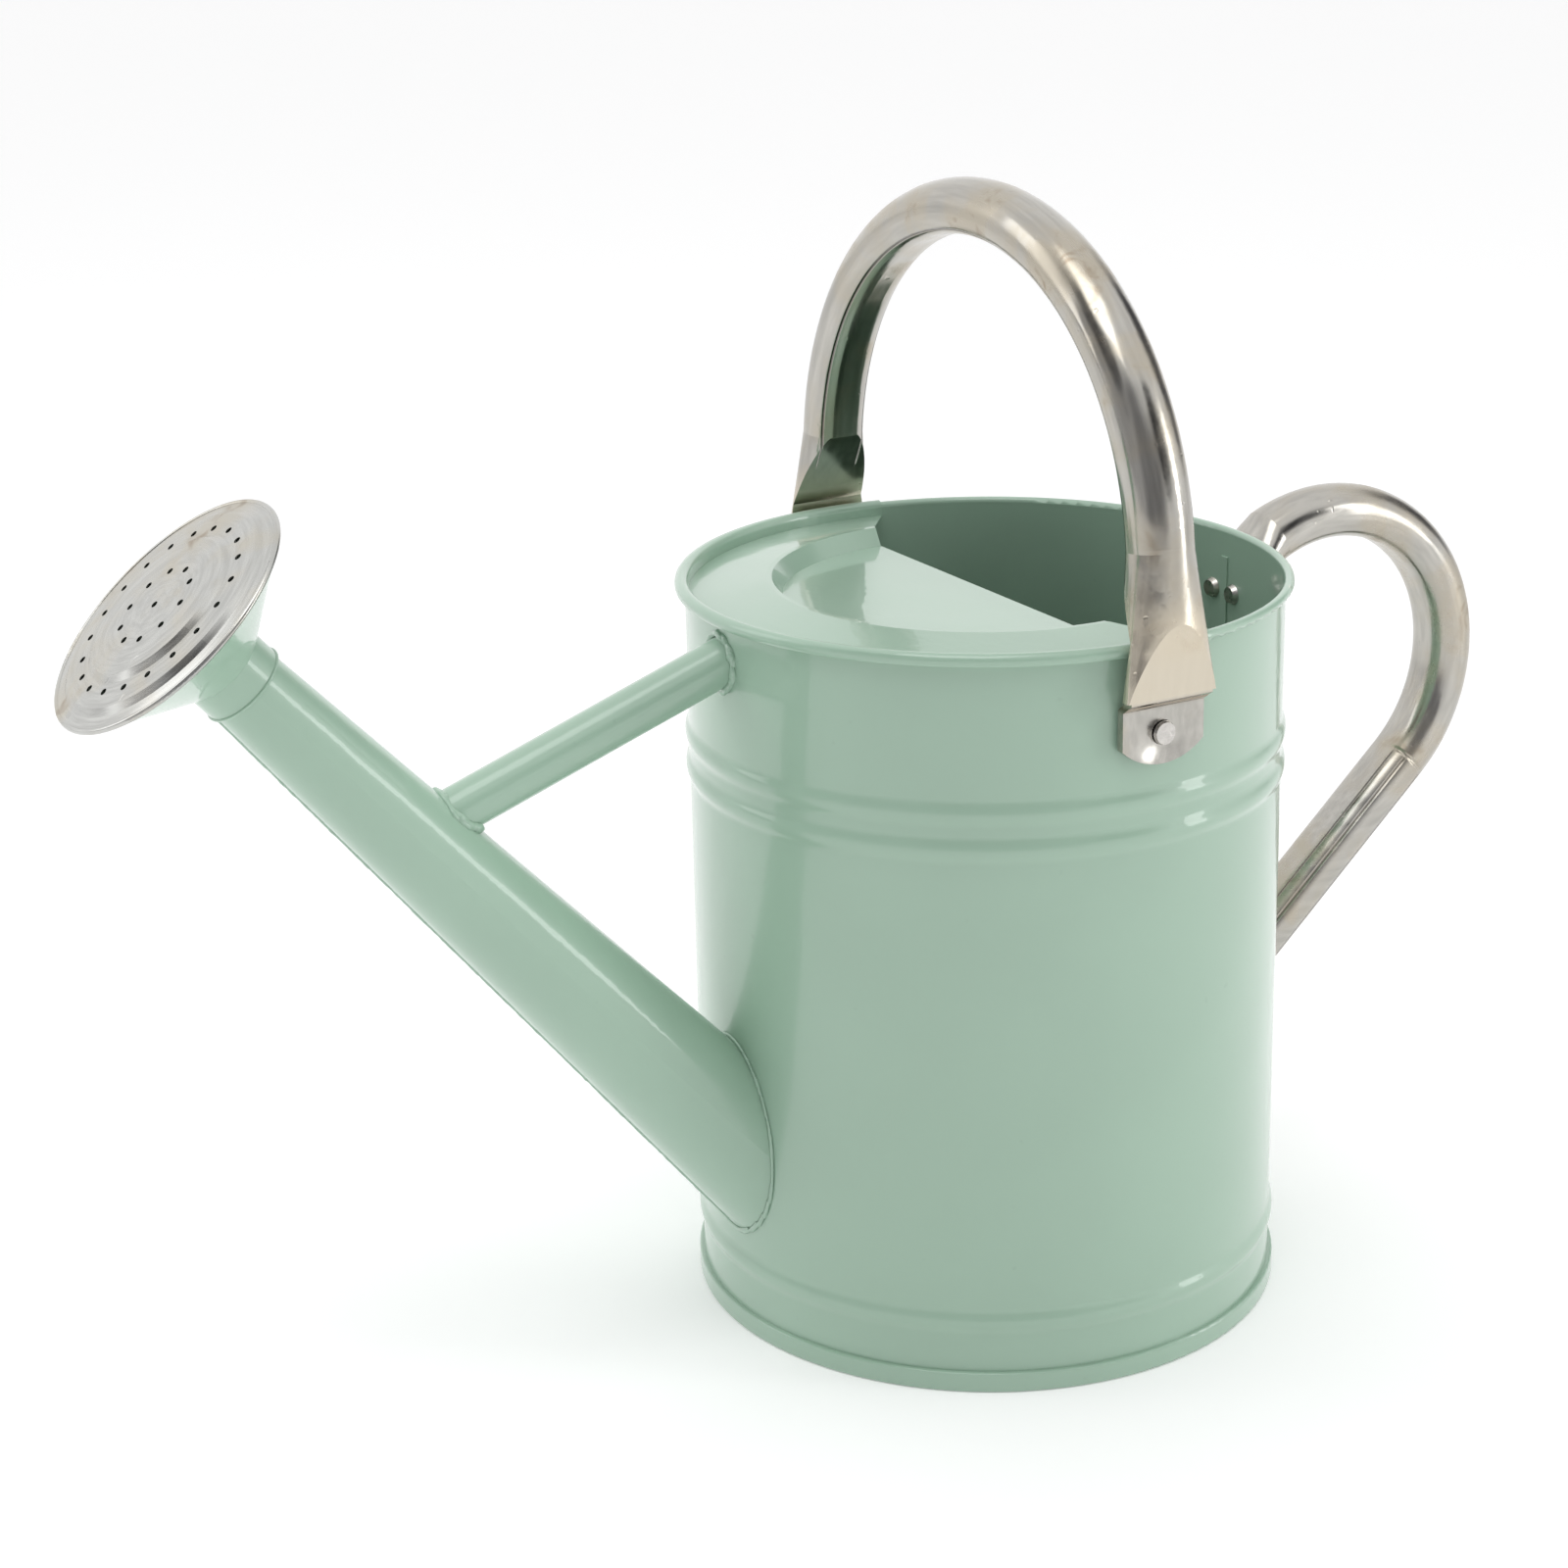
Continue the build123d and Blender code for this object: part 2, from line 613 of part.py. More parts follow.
rear_rivet_names = ("upper_left", "upper_right", "lower_left", "lower_right")
for (angle, height), name in zip(rear_rivet_places, rear_rivet_names):
    rivet(radial_plane(angle, BODY_R, height), FOOT_PLATE, f"rear_rivet_{name}")
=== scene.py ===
import math

import bmesh
import bpy
from mathutils import Matrix, Vector, noise


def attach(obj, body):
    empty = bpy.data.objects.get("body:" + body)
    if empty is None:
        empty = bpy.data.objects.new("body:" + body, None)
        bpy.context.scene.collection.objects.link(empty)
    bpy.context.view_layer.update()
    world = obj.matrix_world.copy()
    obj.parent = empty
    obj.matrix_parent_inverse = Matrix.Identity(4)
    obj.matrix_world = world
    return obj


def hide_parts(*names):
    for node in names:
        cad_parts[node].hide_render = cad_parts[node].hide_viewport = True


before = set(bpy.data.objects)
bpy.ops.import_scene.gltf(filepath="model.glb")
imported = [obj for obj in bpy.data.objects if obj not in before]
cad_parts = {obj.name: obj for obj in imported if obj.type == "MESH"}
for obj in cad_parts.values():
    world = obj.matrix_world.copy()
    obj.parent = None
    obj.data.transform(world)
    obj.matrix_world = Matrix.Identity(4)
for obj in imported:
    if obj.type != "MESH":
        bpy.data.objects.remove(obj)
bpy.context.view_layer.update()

# ---------------------------------------------------------------- object sizes, as in the CAD
BODY_R = 0.0885
PIVOT_Z = 0.1973
BAIL_ARC_Z = 0.2403
REAR_ARC = (0.1262, 0.0, 0.1726)
SPOUT_LEAN = math.radians(49.0)
SPOUT_FOOT = Vector((-0.0928, 0.0, 0.0682))
SPOUT_DIR = Vector((-math.cos(SPOUT_LEAN), 0.0, math.sin(SPOUT_LEAN)))
SPOUT_R_FOOT, SPOUT_R_TIP, SPOUT_LENGTH = 0.01965, 0.0110, 0.214
STRUT_LEAN = math.radians(19.3)
STRUT_TOP = Vector((-0.0885, 0.0, 0.2088))
STRUT_DIR = Vector((-math.cos(STRUT_LEAN), 0.0, -math.sin(STRUT_LEAN)))
WELD_RING_R = 0.0076          # ring round the brace that its weld runs follow
CAN_MIDDLE = Vector((-0.03, 0, 0.15))

# marks on the bail, in metres and in the frame's axes
BAIL_INSIDE = (0.0868, 0.0880)       # radii about the bend's centre where its inner side ends
BAIL_CREASE_X = 0.0072
BAIL_TUBE_Z = (0.232, 0.250)         # crushed below, round tube above
BAIL_FOOT_LOW = (0.2065, 0.209)      # the crushed foot fades in over these heights
BAIL_FOOT_HIGH = (0.226, 0.240)      # and out over these
UNDER_STEP_Z = 0.2062                # painted shadow just under the step from foot to riveting tab
BAIL_TAB_Z = (0.205, 0.207)
DISH_R = (0.002, 0.0125)             # dished tab, from the rivet out to the tab's edge

# marks on the rear handle
REAR_KINK = math.radians(-47.6)      # direction from the bend's centre to the end of the bend
REAR_SEAM_Y = -0.0045
REAR_SIDE_Y = -0.0082
REAR_SEAM_END_Z = (0.205, 0.215)

# colours
GREEN = (0.345, 0.502, 0.390)
STEEL = (0.475, 0.46, 0.425)
ROSE_STEEL = (0.53, 0.53, 0.51)
RIVET_STEEL = (0.60, 0.58, 0.55)
BROWN_SPOT = (0.22, 0.15, 0.09)
# painted shade for the dark lines in the bail's creases
CREASE_SHADE = (0.10, 0.09, 0.075)
# painted shade for the dark lines along the rear handle's creases
GROOVE_SHADE = (0.12, 0.10, 0.08)
HEAT_STRAW = (0.66, 0.59, 0.47)
# painted shadow, brown, under the bail's step from foot to tab
STEP_SHADOW = (0.26, 0.19, 0.12)


# ================================================================ node helpers
class Nodes:
    """A material's node tree with short calls for the nodes used here."""

    def __init__(self, name):
        self.mat = bpy.data.materials.new(name)
        self.mat.use_nodes = True
        self.tree = self.mat.node_tree
        self.tree.nodes.clear()
        self.out = self.tree.nodes.new("ShaderNodeOutputMaterial")
        self.bsdf = self.tree.nodes.new("ShaderNodeBsdfPrincipled")
        self.link(self.bsdf.outputs[0], self.out.inputs[0])
        self.coords = self.tree.nodes.new("ShaderNodeTexCoord").outputs["Object"]

    def link(self, a, b):
        self.tree.links.new(a, b)

    def put(self, socket, value):
        """Link an output into a socket, or set the socket's own value."""
        if isinstance(value, bpy.types.NodeSocket):
            self.link(value, socket)
        else:
            socket.default_value = value

    def math(self, op, a, b=0.0):
        n = self.tree.nodes.new("ShaderNodeMath")
        n.operation = op
        self.put(n.inputs[0], a)
        self.put(n.inputs[1], b)
        return n.outputs[0]

    def mapping(self, vector, location=(0, 0, 0), rotation=(0, 0, 0), scale=(1, 1, 1)):
        n = self.tree.nodes.new("ShaderNodeMapping")
        self.put(n.inputs["Vector"], vector)
        n.inputs["Location"].default_value = location
        n.inputs["Rotation"].default_value = rotation
        n.inputs["Scale"].default_value = scale
        return n.outputs[0]

    def noise(self, vector, scale, detail=2.0, rough=0.5, distortion=0.0):
        n = self.tree.nodes.new("ShaderNodeTexNoise")
        self.put(n.inputs["Vector"], vector)
        n.inputs["Scale"].default_value = scale
        n.inputs["Detail"].default_value = detail
        n.inputs["Roughness"].default_value = rough
        n.inputs["Distortion"].default_value = distortion
        return n.outputs[0]

    def ramp(self, value, low, high, to_low=0.0, to_high=1.0):
        n = self.tree.nodes.new("ShaderNodeMapRange")
        n.interpolation_type = "SMOOTHSTEP"
        self.put(n.inputs[0], value)
        for i, x in enumerate((low, high, to_low, to_high)):
            n.inputs[i + 1].default_value = x
        return n.outputs[0]

    def mix(self, factor, a, b):
        n = self.tree.nodes.new("ShaderNodeMix")
        n.data_type = "RGBA"
        self.put(n.inputs[0], factor)
        for socket, value in ((n.inputs[6], a), (n.inputs[7], b)):
            self.put(socket, value if isinstance(value, bpy.types.NodeSocket) else (*value, 1.0))
        return n.outputs[2]

    def bump(self, height, distance, strength=1.0, normal=None):
        n = self.tree.nodes.new("ShaderNodeBump")
        n.inputs["Strength"].default_value = strength
        n.inputs["Distance"].default_value = distance
        self.put(n.inputs["Height"], height)
        if normal is not None:
            self.link(normal, n.inputs["Normal"])
        return n.outputs[0]

    def polar(self, centre, axis):
        """Turn object coordinates into (angle, radius, along) about an axis through centre."""
        rotation = {"X": (0, math.pi / 2, 0), "Y": (math.pi / 2, 0, 0), "Z": (0, 0, 0)}[axis]
        n = self.tree.nodes.new("ShaderNodeVectorMath")
        n.operation = "SUBTRACT"
        self.link(self.coords, n.inputs[0])
        n.inputs[1].default_value = centre
        turned = self.mapping(n.outputs[0], rotation=rotation)
        return self.around_z(turned)

    def around_z(self, vector):
        split = self.tree.nodes.new("ShaderNodeSeparateXYZ")
        self.link(vector, split.inputs[0])
        angle = self.math("ARCTAN2", split.outputs[1], split.outputs[0])
        square = self.math("MULTIPLY", split.outputs[0], split.outputs[0])
        square = self.math("ADD", square, self.math("MULTIPLY", split.outputs[1], split.outputs[1]))
        radius = self.math("SQRT", square)
        join = self.tree.nodes.new("ShaderNodeCombineXYZ")
        self.link(angle, join.inputs[0])
        self.link(radius, join.inputs[1])
        self.link(split.outputs[2], join.inputs[2])
        return join.outputs[0]


def shade(colour, factor):
    return tuple(channel * factor for channel in colour)


def paint(name, base):
    """Gloss powder coat: clear top, orange peel, slow waves in the sheet and a faint mottle."""
    m = Nodes(name)
    mottle = m.noise(m.coords, 24.0, 1.0, 0.4)
    darker, lighter = shade(base, 0.975), shade(base, 1.02)
    colour = m.mix(m.ramp(mottle, 0.2, 0.8), darker, lighter)
    dust = m.ramp(m.noise(m.coords, 260.0, 1.0, 0.5), 0.76, 0.84, 0.0, 0.35)
    colour = m.mix(dust, colour, shade(base, 0.82))
    m.put(m.bsdf.inputs["Base Color"], colour)
    m.put(m.bsdf.inputs["Roughness"], m.ramp(mottle, 0.2, 0.8, 0.30, 0.36))
    m.bsdf.inputs["Coat Weight"].default_value = 0.8
    m.bsdf.inputs["Coat Roughness"].default_value = 0.05
    peel = m.noise(m.coords, 380.0, 1.0, 0.4)
    waves = m.noise(m.coords, 45.0, 1.0, 0.4)
    surface = m.bump(peel, 0.00004, 1.0, m.bump(waves, 0.0004, 0.6))
    m.put(m.bsdf.inputs["Normal"], surface)
    m.put(m.bsdf.inputs["Coat Normal"], surface)
    return m.mat


def steel(name, streak_vector, streak_scale, stains, rough, tint=STEEL, extra=None):
    """Bright stainless: faint drawn streaks, cloudy warm tint, brown spots and shallow pits.

    streak_vector gives the coordinates that the streaks run along, and rough the roughness in
    the bright and the dull streaks. extra adds the piece's own creases, tints and painted shade:
    it takes the nodes and the colour and returns (colour, height).
    """
    m = Nodes(name)
    vector = m.mapping(streak_vector(m), scale=streak_scale)
    streak = m.noise(vector, 1.0, 3.0, 0.55)
    cloud = m.noise(m.coords, 48.0, 3.0, 0.55, 0.3)
    blot = m.noise(m.coords, 150.0, 2.0, 0.5, 0.6)
    colour = m.mix(m.ramp(streak, 0.30, 0.70), shade(tint, 0.84), tint)
    warm = (tint[0] * 0.95, tint[1] * 0.88, tint[2] * 0.76)
    colour = m.mix(m.ramp(cloud, 0.40, 0.70, 0.0, 0.8), colour, warm)
    brown = m.math("MULTIPLY", m.ramp(cloud, 0.55, 0.70), m.ramp(blot, 0.50, 0.68, 0.0, stains))
    colour = m.mix(brown, colour, BROWN_SPOT)
    height = None
    if extra is not None:
        colour, height = extra(m, colour)
    m.put(m.bsdf.inputs["Base Color"], colour)
    m.bsdf.inputs["Metallic"].default_value = 1.0
    roughness = m.math("ADD", m.ramp(streak, 0.3, 0.7, *rough), m.ramp(cloud, 0.45, 0.75, 0.0, 0.14))
    m.put(m.bsdf.inputs["Roughness"], roughness)
    normal = m.bump(m.noise(m.coords, 60.0, 1.0, 0.5), 0.0007, 0.6)
    normal = m.bump(streak, 0.00002, 0.3, normal)
    pits = m.ramp(m.noise(m.coords, 330.0, 0.0, 0.5), 0.80, 0.86)
    normal = m.bump(m.math("MULTIPLY", pits, -1.0), 0.0001, 0.6, normal)
    if height is not None:
        normal = m.bump(height, 0.001, 1.0, normal)
    m.put(m.bsdf.inputs["Normal"], normal)
    return m.mat


def line_mask(m, value, place, width):
    """1 on a thin line where value is place, fading to 0 within width."""
    away = m.math("ABSOLUTE", m.math("SUBTRACT", value, place))
    return m.ramp(away, 0.0, width, 1.0, 0.0)


def xyz(m):
    """The object coordinates as three values."""
    split = m.tree.nodes.new("ShaderNodeSeparateXYZ")
    m.link(m.coords, split.inputs[0])
    return split.outputs


def distance(m, a, b):
    """Length of a two-part offset."""
    return m.math("SQRT", m.math("ADD", m.math("MULTIPLY", a, a), m.math("MULTIPLY", b, b)))


def bail_marks(m, colour):
    """Two pressed creases inside the bend with painted shade in them, heat tint on the feet, painted
    shadow under the step to the tab, a dish round each rivet.
    """
    x, y, z = xyz(m)
    from_bend = distance(m, y, m.math("SUBTRACT", z, BAIL_ARC_Z))
    inside = m.ramp(from_bend, *BAIL_INSIDE, 1.0, 0.0)
    tube = m.ramp(z, *BAIL_TUBE_Z)
    pair = line_mask(m, m.math("ABSOLUTE", x), BAIL_CREASE_X, 0.0004)
    creases = m.math("MULTIPLY", m.math("MULTIPLY", pair, inside), tube)
    # painted shade darkens the two creases
    colour = m.mix(m.math("MULTIPLY", creases, 0.8), colour, CREASE_SHADE)
    foot = m.math("MULTIPLY", m.ramp(z, *BAIL_FOOT_LOW), m.ramp(z, *BAIL_FOOT_HIGH, 1.0, 0.0))
    colour = m.mix(m.math("MULTIPLY", foot, 0.75), colour, HEAT_STRAW)
    # painted shadow, brown, in a line just under the step from the foot to the tab
    under = m.math("MULTIPLY", line_mask(m, z, UNDER_STEP_Z, 0.0022), 0.65)
    colour = m.mix(under, colour, STEP_SHADOW)
    from_rivet = distance(m, x, m.math("SUBTRACT", z, PIVOT_Z))
    tab = m.ramp(z, *BAIL_TAB_Z, 1.0, 0.0)
    dish = m.math("MULTIPLY", m.ramp(from_rivet, *DISH_R), tab)
    height = m.math("SUBTRACT", m.math("MULTIPLY", dish, 1.6), m.math("MULTIPLY", creases, 0.5))
    return colour, height


def rear_marks(m, colour):
    """Creases along the straight arm with painted shade in them, and the kink where the arm leaves
    the bend.
    """
    x, y, z = xyz(m)
    dx = m.math("MULTIPLY", m.math("SUBTRACT", x, REAR_ARC[0]), math.sin(REAR_KINK))
    dz = m.math("MULTIPLY", m.math("SUBTRACT", z, REAR_ARC[2]), -math.cos(REAR_KINK))
    along = m.math("ADD", dx, dz)
    arm = m.ramp(along, -0.001, 0.003)
    seam_low = m.ramp(z, *REAR_SEAM_END_Z, 1.0, 0.0)
    seam = m.math("MULTIPLY", line_mask(m, y, REAR_SEAM_Y, 0.0004), seam_low)
    sides = m.math("MULTIPLY", line_mask(m, y, REAR_SIDE_Y, 0.0005), arm)
    kink = line_mask(m, along, 0.0, 0.0011)
    marks = m.math("MAXIMUM", m.math("MULTIPLY", seam, arm), sides)
    # painted shade darkens the crease lines along the arm
    colour = m.mix(m.math("MULTIPLY", marks, 0.7), colour, GROOVE_SHADE)
    inner = m.ramp(y, -0.002, 0.004, 1.0, 0.0)
    dent = m.math("MULTIPLY", m.math("MULTIPLY", kink, inner), -0.35)
    height = m.math("ADD", m.math("MULTIPLY", marks, -0.4), dent)
    return colour, height


def along_bail(m):
    return m.polar((0, 0, BAIL_ARC_Z), "X")


def along_rear(m):
    return m.polar(REAR_ARC, "Y")


def rose_lathe(m):
    """Rings about the spout's axis."""
    centred = m.tree.nodes.new("ShaderNodeVectorMath")
    centred.operation = "SUBTRACT"
    m.link(m.coords, centred.inputs[0])
    centred.inputs[1].default_value = SPOUT_FOOT
    turned = m.mapping(centred.outputs[0], rotation=(0, math.pi / 2 - SPOUT_LEAN, 0))
    return m.around_z(turned)


def plain(m):
    return m.coords


green = paint("paint_green", GREEN)
ALONG_TUBE = (4.0, 420.0, 420.0)      # long streaks: slow along, fast across
ROUND_ROSE = (2.0, 700.0, 200.0)
ALL_WAYS = (500.0, 500.0, 500.0)
bail_steel = steel("steel_bail", along_bail, ALONG_TUBE, 0.5, (0.13, 0.21), extra=bail_marks)
rear_steel = steel("steel_rear", along_rear, ALONG_TUBE, 0.4, (0.17, 0.26), extra=rear_marks)
rose_steel = steel("steel_rose", rose_lathe, ROUND_ROSE, 0.6, (0.20, 0.28), ROSE_STEEL)
rivet_steel = steel("steel_rivet", plain, ALL_WAYS, 0.3, (0.2, 0.35), RIVET_STEEL)


def dress(node, material):
    """Give a CAD node a new material in all its slots."""
    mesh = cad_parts[node].data
    if not mesh.materials:
        mesh.materials.append(material)
    for i in range(len(mesh.materials)):
        mesh.materials[i] = material


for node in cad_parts:
    if node == "bail_handle":
        dress(node, bail_steel)
    elif node == "rear_handle":
        dress(node, rear_steel)
    elif node == "rose_face":
        dress(node, rose_steel)
    elif "rivet" in node:
        dress(node, rivet_steel)
    else:
        dress(node, green)


# ================================================================ added detail pieces
def new_piece(name, mesh):
    """Green object on the can's body, from a mesh."""
    piece = bpy.data.objects.new(name, mesh)
    mesh.materials.clear()
    mesh.materials.append(green)
    for polygon in mesh.polygons:
        polygon.use_smooth = True
    bpy.context.collection.objects.link(piece)
    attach(piece, "can")
    return piece


def lumpy_weld(node, voxel, lump, seed):
    """Uneven bead in the place of a plain CAD weld ring."""
    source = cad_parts[node].data.copy()
    work = bpy.data.objects.new(node + "_work", source)
    bpy.context.collection.objects.link(work)
    remesh = work.modifiers.new("voxels", "REMESH")
    remesh.mode = "VOXEL"
    remesh.voxel_size = voxel
    graph = bpy.context.evaluated_depsgraph_get()
    mesh = bpy.data.meshes.new_from_object(work.evaluated_get(graph))
    bpy.data.objects.remove(work)
    shift = Vector((seed * 7.1, seed * 3.3, seed * 5.7))
    normals = [v.normal.copy() for v in mesh.vertices]
    for vertex, normal in zip(mesh.vertices, normals):
        beads = noise.noise(vertex.co * 260.0 + shift)
        drips = noise.noise(vertex.co * 90.0 + shift)
        vertex.co += normal * lump * (0.35 + 0.8 * beads + 0.7 * drips)
    piece = new_piece(node + "_bead", mesh)
    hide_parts(node)


def line_bead(name, track, radius, wobble, closed=False):
    """Thin uneven painted bead along a track of (point, surface normal) pairs."""
    bm = bmesh.new()
    sides = 10
    last = len(track) - 1
    rings = []
    for i, (point, normal) in enumerate(track):
        if closed:
            ahead = track[(i + 1) % len(track)][0] - track[i - 1][0]
        else:
            ahead = track[min(i + 1, last)][0] - track[max(i - 1, 0)][0]
        cross = ahead.cross(normal).normalized()
        centre = point + cross * wobble * noise.noise(point * 300.0)
        size = radius * (1 + 0.45 * noise.noise(point * 500.0))
        ring = []
        for k in range(sides):
            turn_k = 2 * math.pi * k / sides
            spoke = normal * math.cos(turn_k) + cross * math.sin(turn_k)
            ring.append(bm.verts.new(centre + spoke * size))
        rings.append(ring)
    following = rings[1:] + rings[:1] if closed else rings[1:]
    for a, b in zip(rings, following):
        for k in range(sides):
            bm.faces.new((a[k], a[(k + 1) % sides], b[(k + 1) % sides], b[k]))
    if not closed:
        bm.faces.new(rings[0])
        bm.faces.new(rings[-1])
    bmesh.ops.recalc_face_normals(bm, faces=bm.faces)
    mesh = bpy.data.meshes.new(name)
    bm.to_mesh(mesh)
    bm.free()
    new_piece(name, mesh)


def spout_axis_point(point):
    """Nearest point on the spout's axis and its distance from the foot."""
    along = (point - SPOUT_FOOT).dot(SPOUT_DIR)
    return SPOUT_FOOT + SPOUT_DIR * along, along


def spout_radius(along):
    return SPOUT_R_FOOT + (SPOUT_R_TIP - SPOUT_R_FOOT) * along / SPOUT_LENGTH


def over_spout(point):
    """Height above the spout's skin and the skin's normal there."""
    axis, along = spout_axis_point(point)
    out = point - axis
    return out.length - spout_radius(along), out.normalized()


def over_wall(point):
    """Height above the can's wall and the wall's normal there."""
    out = Vector((point.x, point.y, 0))
    return out.length - BODY_R, out.normalized()


def weld_track(start, reach, above):
    """Closed line where a ring round the brace, slid along it from start by reach, meets a skin."""
    steps, halvings = 120, 30
    sideways = Vector((0, 1, 0))
    upward = STRUT_DIR.cross(sideways)
    track = []
    for i in range(steps):
        turn_i = 2 * math.pi * i / steps
        rim = sideways * math.cos(turn_i) + upward * math.sin(turn_i)
        near, far = 0.0, 1.0
        for _ in range(halvings):
            middle = (near + far) / 2
            point = STRUT_TOP + rim * WELD_RING_R + STRUT_DIR * (start + reach * middle)
            if above(point)[0] > 0:
                near = middle
            else:
                far = middle
        track.append((point, above(point)[1]))
    return track


lumpy_weld("spout_weld", 0.0005, 0.00018, 1)
lumpy_weld("strut_weld_upper", 0.0004, 0.0014, 2)
lumpy_weld("strut_weld_lower", 0.0004, 0.0012, 3)

# the runs of weld that lie over the brace's two joints
upper_run = weld_track(0.030, -0.045, over_wall)
line_bead("strut_weld_upper_run", upper_run, 0.0011, 0.0012, closed=True)
lower_run = weld_track(0.050, 0.042, over_spout)
line_bead("strut_weld_lower_run", lower_run, 0.0009, 0.0010, closed=True)

# the spout's lengthwise seam runs down its underside
spout_down = Vector((-math.sin(SPOUT_LEAN), 0, -math.cos(SPOUT_LEAN)))
SEAM_START, SEAM_END = -0.0265, 0.208
SEAM_STEPS = 180
SEAM_SUNK = 0.0001
SEAM_RADIUS, SEAM_WOBBLE = 0.0005, 0.0003
seam_track = []
for i in range(SEAM_STEPS):
    along = SEAM_START + (SEAM_END - SEAM_START) * i / (SEAM_STEPS - 1)
    skin = spout_down * (spout_radius(along) - SEAM_SUNK)
    seam_track.append((SPOUT_FOOT + SPOUT_DIR * along + skin, spout_down))
line_bead("spout_seam", seam_track, SEAM_RADIUS, SEAM_WOBBLE)

# ================================================================ stage, light and camera
FLOOR_R = 9.0
FLOOR_DROP = 0.0002           # just under the hem, so the two faces never coincide
FLOOR_GLOW = 0.16             # lifts the floor to the tent's white
floor_mesh = bpy.data.meshes.new("floor")
bm = bmesh.new()
bmesh.ops.create_circle(bm, cap_ends=True, segments=96, radius=FLOOR_R)
bm.to_mesh(floor_mesh)
bm.free()
floor = bpy.data.objects.new("floor", floor_mesh)
floor.location.z = -FLOOR_DROP
bpy.context.collection.objects.link(floor)
floor_look = Nodes("floor_white")
floor_look.bsdf.inputs["Base Color"].default_value = (0.93, 0.93, 0.93, 1)
floor_look.bsdf.inputs["Roughness"].default_value = 0.9
floor_look.bsdf.inputs["Specular IOR Level"].default_value = 0.1
floor_look.bsdf.inputs["Emission Color"].default_value = (1.0, 1.0, 1.0, 1.0)
floor_look.bsdf.inputs["Emission Strength"].default_value = FLOOR_GLOW
floor_mesh.materials.append(floor_look.mat)


def toward(azimuth, elevation):
    """Unit vector to a compass direction in degrees: azimuth 0 is -Y, and -90 the spout's side."""
    a, e = math.radians(azimuth), math.radians(elevation)
    return Vector((math.sin(a) * math.cos(e), -math.cos(a) * math.cos(e), math.sin(e)))


def softbox(name, azimuth, elevation, reach, width, height, power):
    """Area light aimed at the can from a compass direction."""
    away = toward(azimuth, elevation)
    data = bpy.data.lights.new(name, "AREA")
    data.shape = "RECTANGLE"
    data.size, data.size_y = width, height
    data.energy = power
    lamp = bpy.data.objects.new(name, data)
    lamp.location = CAN_MIDDLE + away * reach
    lamp.rotation_euler = (-away).to_track_quat("-Z", "Y").to_euler()
    bpy.context.collection.objects.link(lamp)


softbox("left_box", -125, 28, 1.6, 0.6, 1.1, 3)
softbox("right_strip", 50, 10, 1.7, 0.3, 1.3, 5)
softbox("top_box", -50, 72, 1.8, 0.9, 0.9, 6)

# A white tent, darker where the room stands open on the viewer's side.
world = bpy.data.worlds.new("studio")
world.use_nodes = True
wt = world.node_tree
direction = wt.nodes.new("ShaderNodeTexCoord").outputs["Generated"]


def world_patch(azimuth, elevation, near, far):
    """How much a direction falls inside a soft round patch of the tent, 0 to 1."""
    dot = wt.nodes.new("ShaderNodeVectorMath")
    dot.operation = "DOT_PRODUCT"
    wt.links.new(direction, dot.inputs[0])
    dot.inputs[1].default_value = toward(azimuth, elevation)
    fade = wt.nodes.new("ShaderNodeMapRange")
    fade.interpolation_type = "SMOOTHSTEP"
    wt.links.new(dot.outputs["Value"], fade.inputs[0])
    fade.inputs[1].default_value = math.cos(math.radians(far))
    fade.inputs[2].default_value = math.cos(math.radians(near))
    return fade.outputs[0]


def world_mix(factor, a, b):
    n = wt.nodes.new("ShaderNodeMix")
    n.data_type = "RGBA"
    wt.links.new(factor, n.inputs[0])
    for socket, value in ((n.inputs[6], a), (n.inputs[7], b)):
        if isinstance(value, tuple):
            socket.default_value = (*value, 1)
        else:
            wt.links.new(value, socket)
    return n.outputs[2]


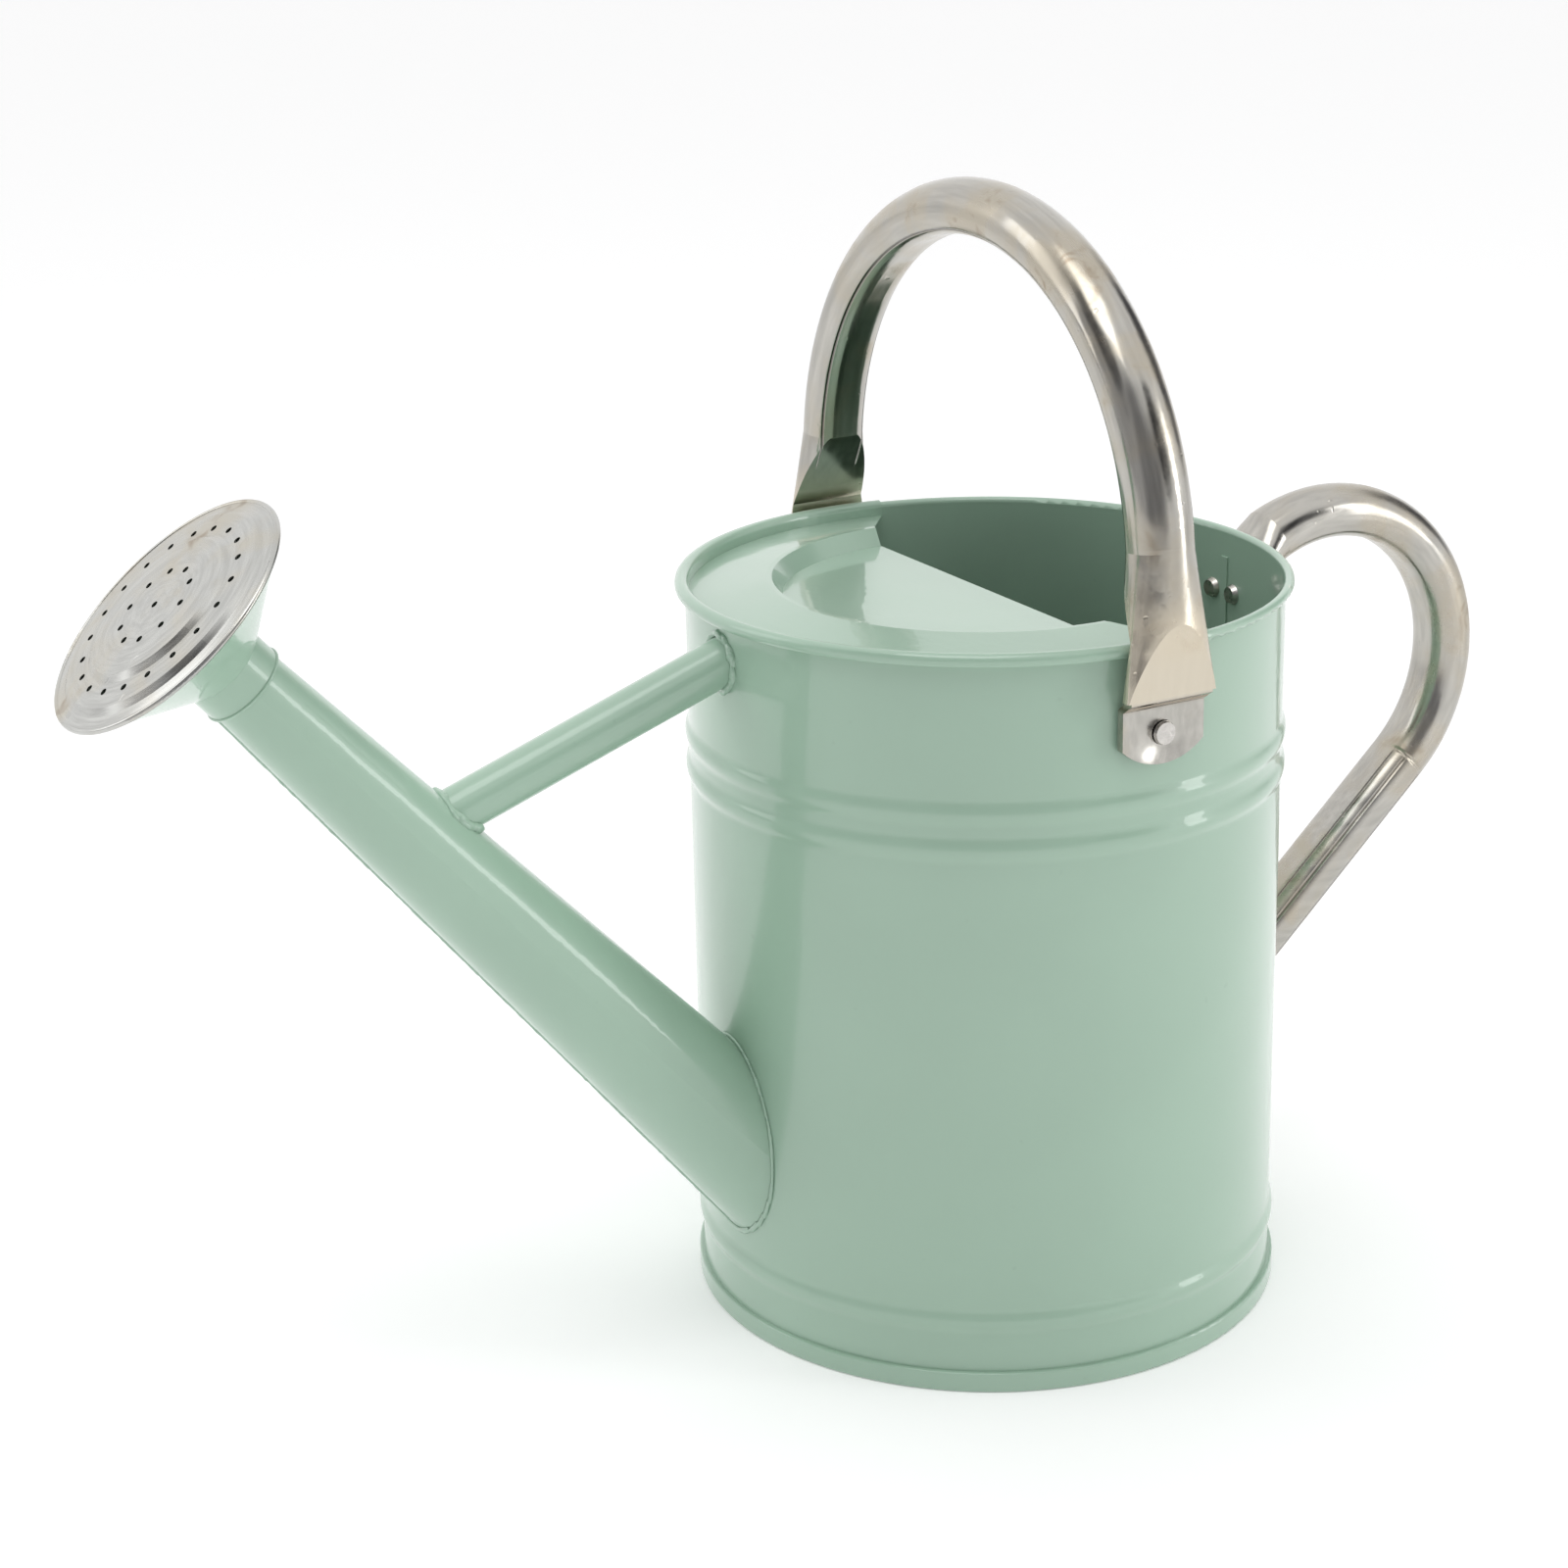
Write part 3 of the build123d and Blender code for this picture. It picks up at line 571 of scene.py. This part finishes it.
WHITE = (1.0, 1.0, 1.0)
TENT_STRENGTH = 1.08
DARK_PATCHES = (
    # azimuth, elevation, full within, gone beyond (degrees), colour
    (-30, 12, 22, 46, (0.26, 0.26, 0.27)),
    (-95, 5, 15, 50, (0.42, 0.42, 0.43)),
    (22, 28, 8, 22, (0.03, 0.03, 0.035)),
    (-82, 42, 10, 24, (0.05, 0.05, 0.055)),
    (100, 18, 8, 24, (0.10, 0.10, 0.11)),
)
tent = WHITE
for azimuth, elevation, near, far, dark in DARK_PATCHES:
    tent = world_mix(world_patch(azimuth, elevation, near, far), tent, dark)
# The open room only darkens what the can reflects. Behind the can the tent stays white.
seen_directly = wt.nodes.new("ShaderNodeLightPath").outputs["Is Camera Ray"]
tent = world_mix(seen_directly, tent, WHITE)
wt.links.new(tent, wt.nodes["Background"].inputs[0])
wt.nodes["Background"].inputs[1].default_value = TENT_STRENGTH
bpy.context.scene.world = world
bpy.context.scene.view_settings.view_transform = "Standard"

CAM_AZIMUTH = math.radians(-32.5)
CAM_BACK = 0.9052
CAM_HEIGHT = 0.4675
CAM_PITCH = math.radians(17.9)
CAM_YAW = math.radians(-3.8)
CAM_ROLL = math.radians(-1.22)
cam_data = bpy.data.cameras.new("camera")
cam_data.lens = 72.6
cam_data.sensor_width = 36.0
cam_data.shift_y = -0.0375
camera = bpy.data.objects.new("camera", cam_data)
bpy.context.collection.objects.link(camera)
level = Vector((math.sin(CAM_YAW), math.cos(CAM_YAW), 0))
forward = level * math.cos(CAM_PITCH) - Vector((0, 0, math.sin(CAM_PITCH)))
right = Vector((math.cos(CAM_YAW), -math.sin(CAM_YAW), 0))
up = right.cross(forward)
tilted_right = math.cos(CAM_ROLL) * right + math.sin(CAM_ROLL) * up
tilted_up = math.cos(CAM_ROLL) * up - math.sin(CAM_ROLL) * right
facing = Matrix((tilted_right, tilted_up, -forward)).transposed().to_4x4()
turn = Matrix.Rotation(CAM_AZIMUTH, 4, "Z")
camera.matrix_world = turn @ Matrix.Translation((0, -CAM_BACK, CAM_HEIGHT)) @ facing
bpy.context.scene.camera = camera
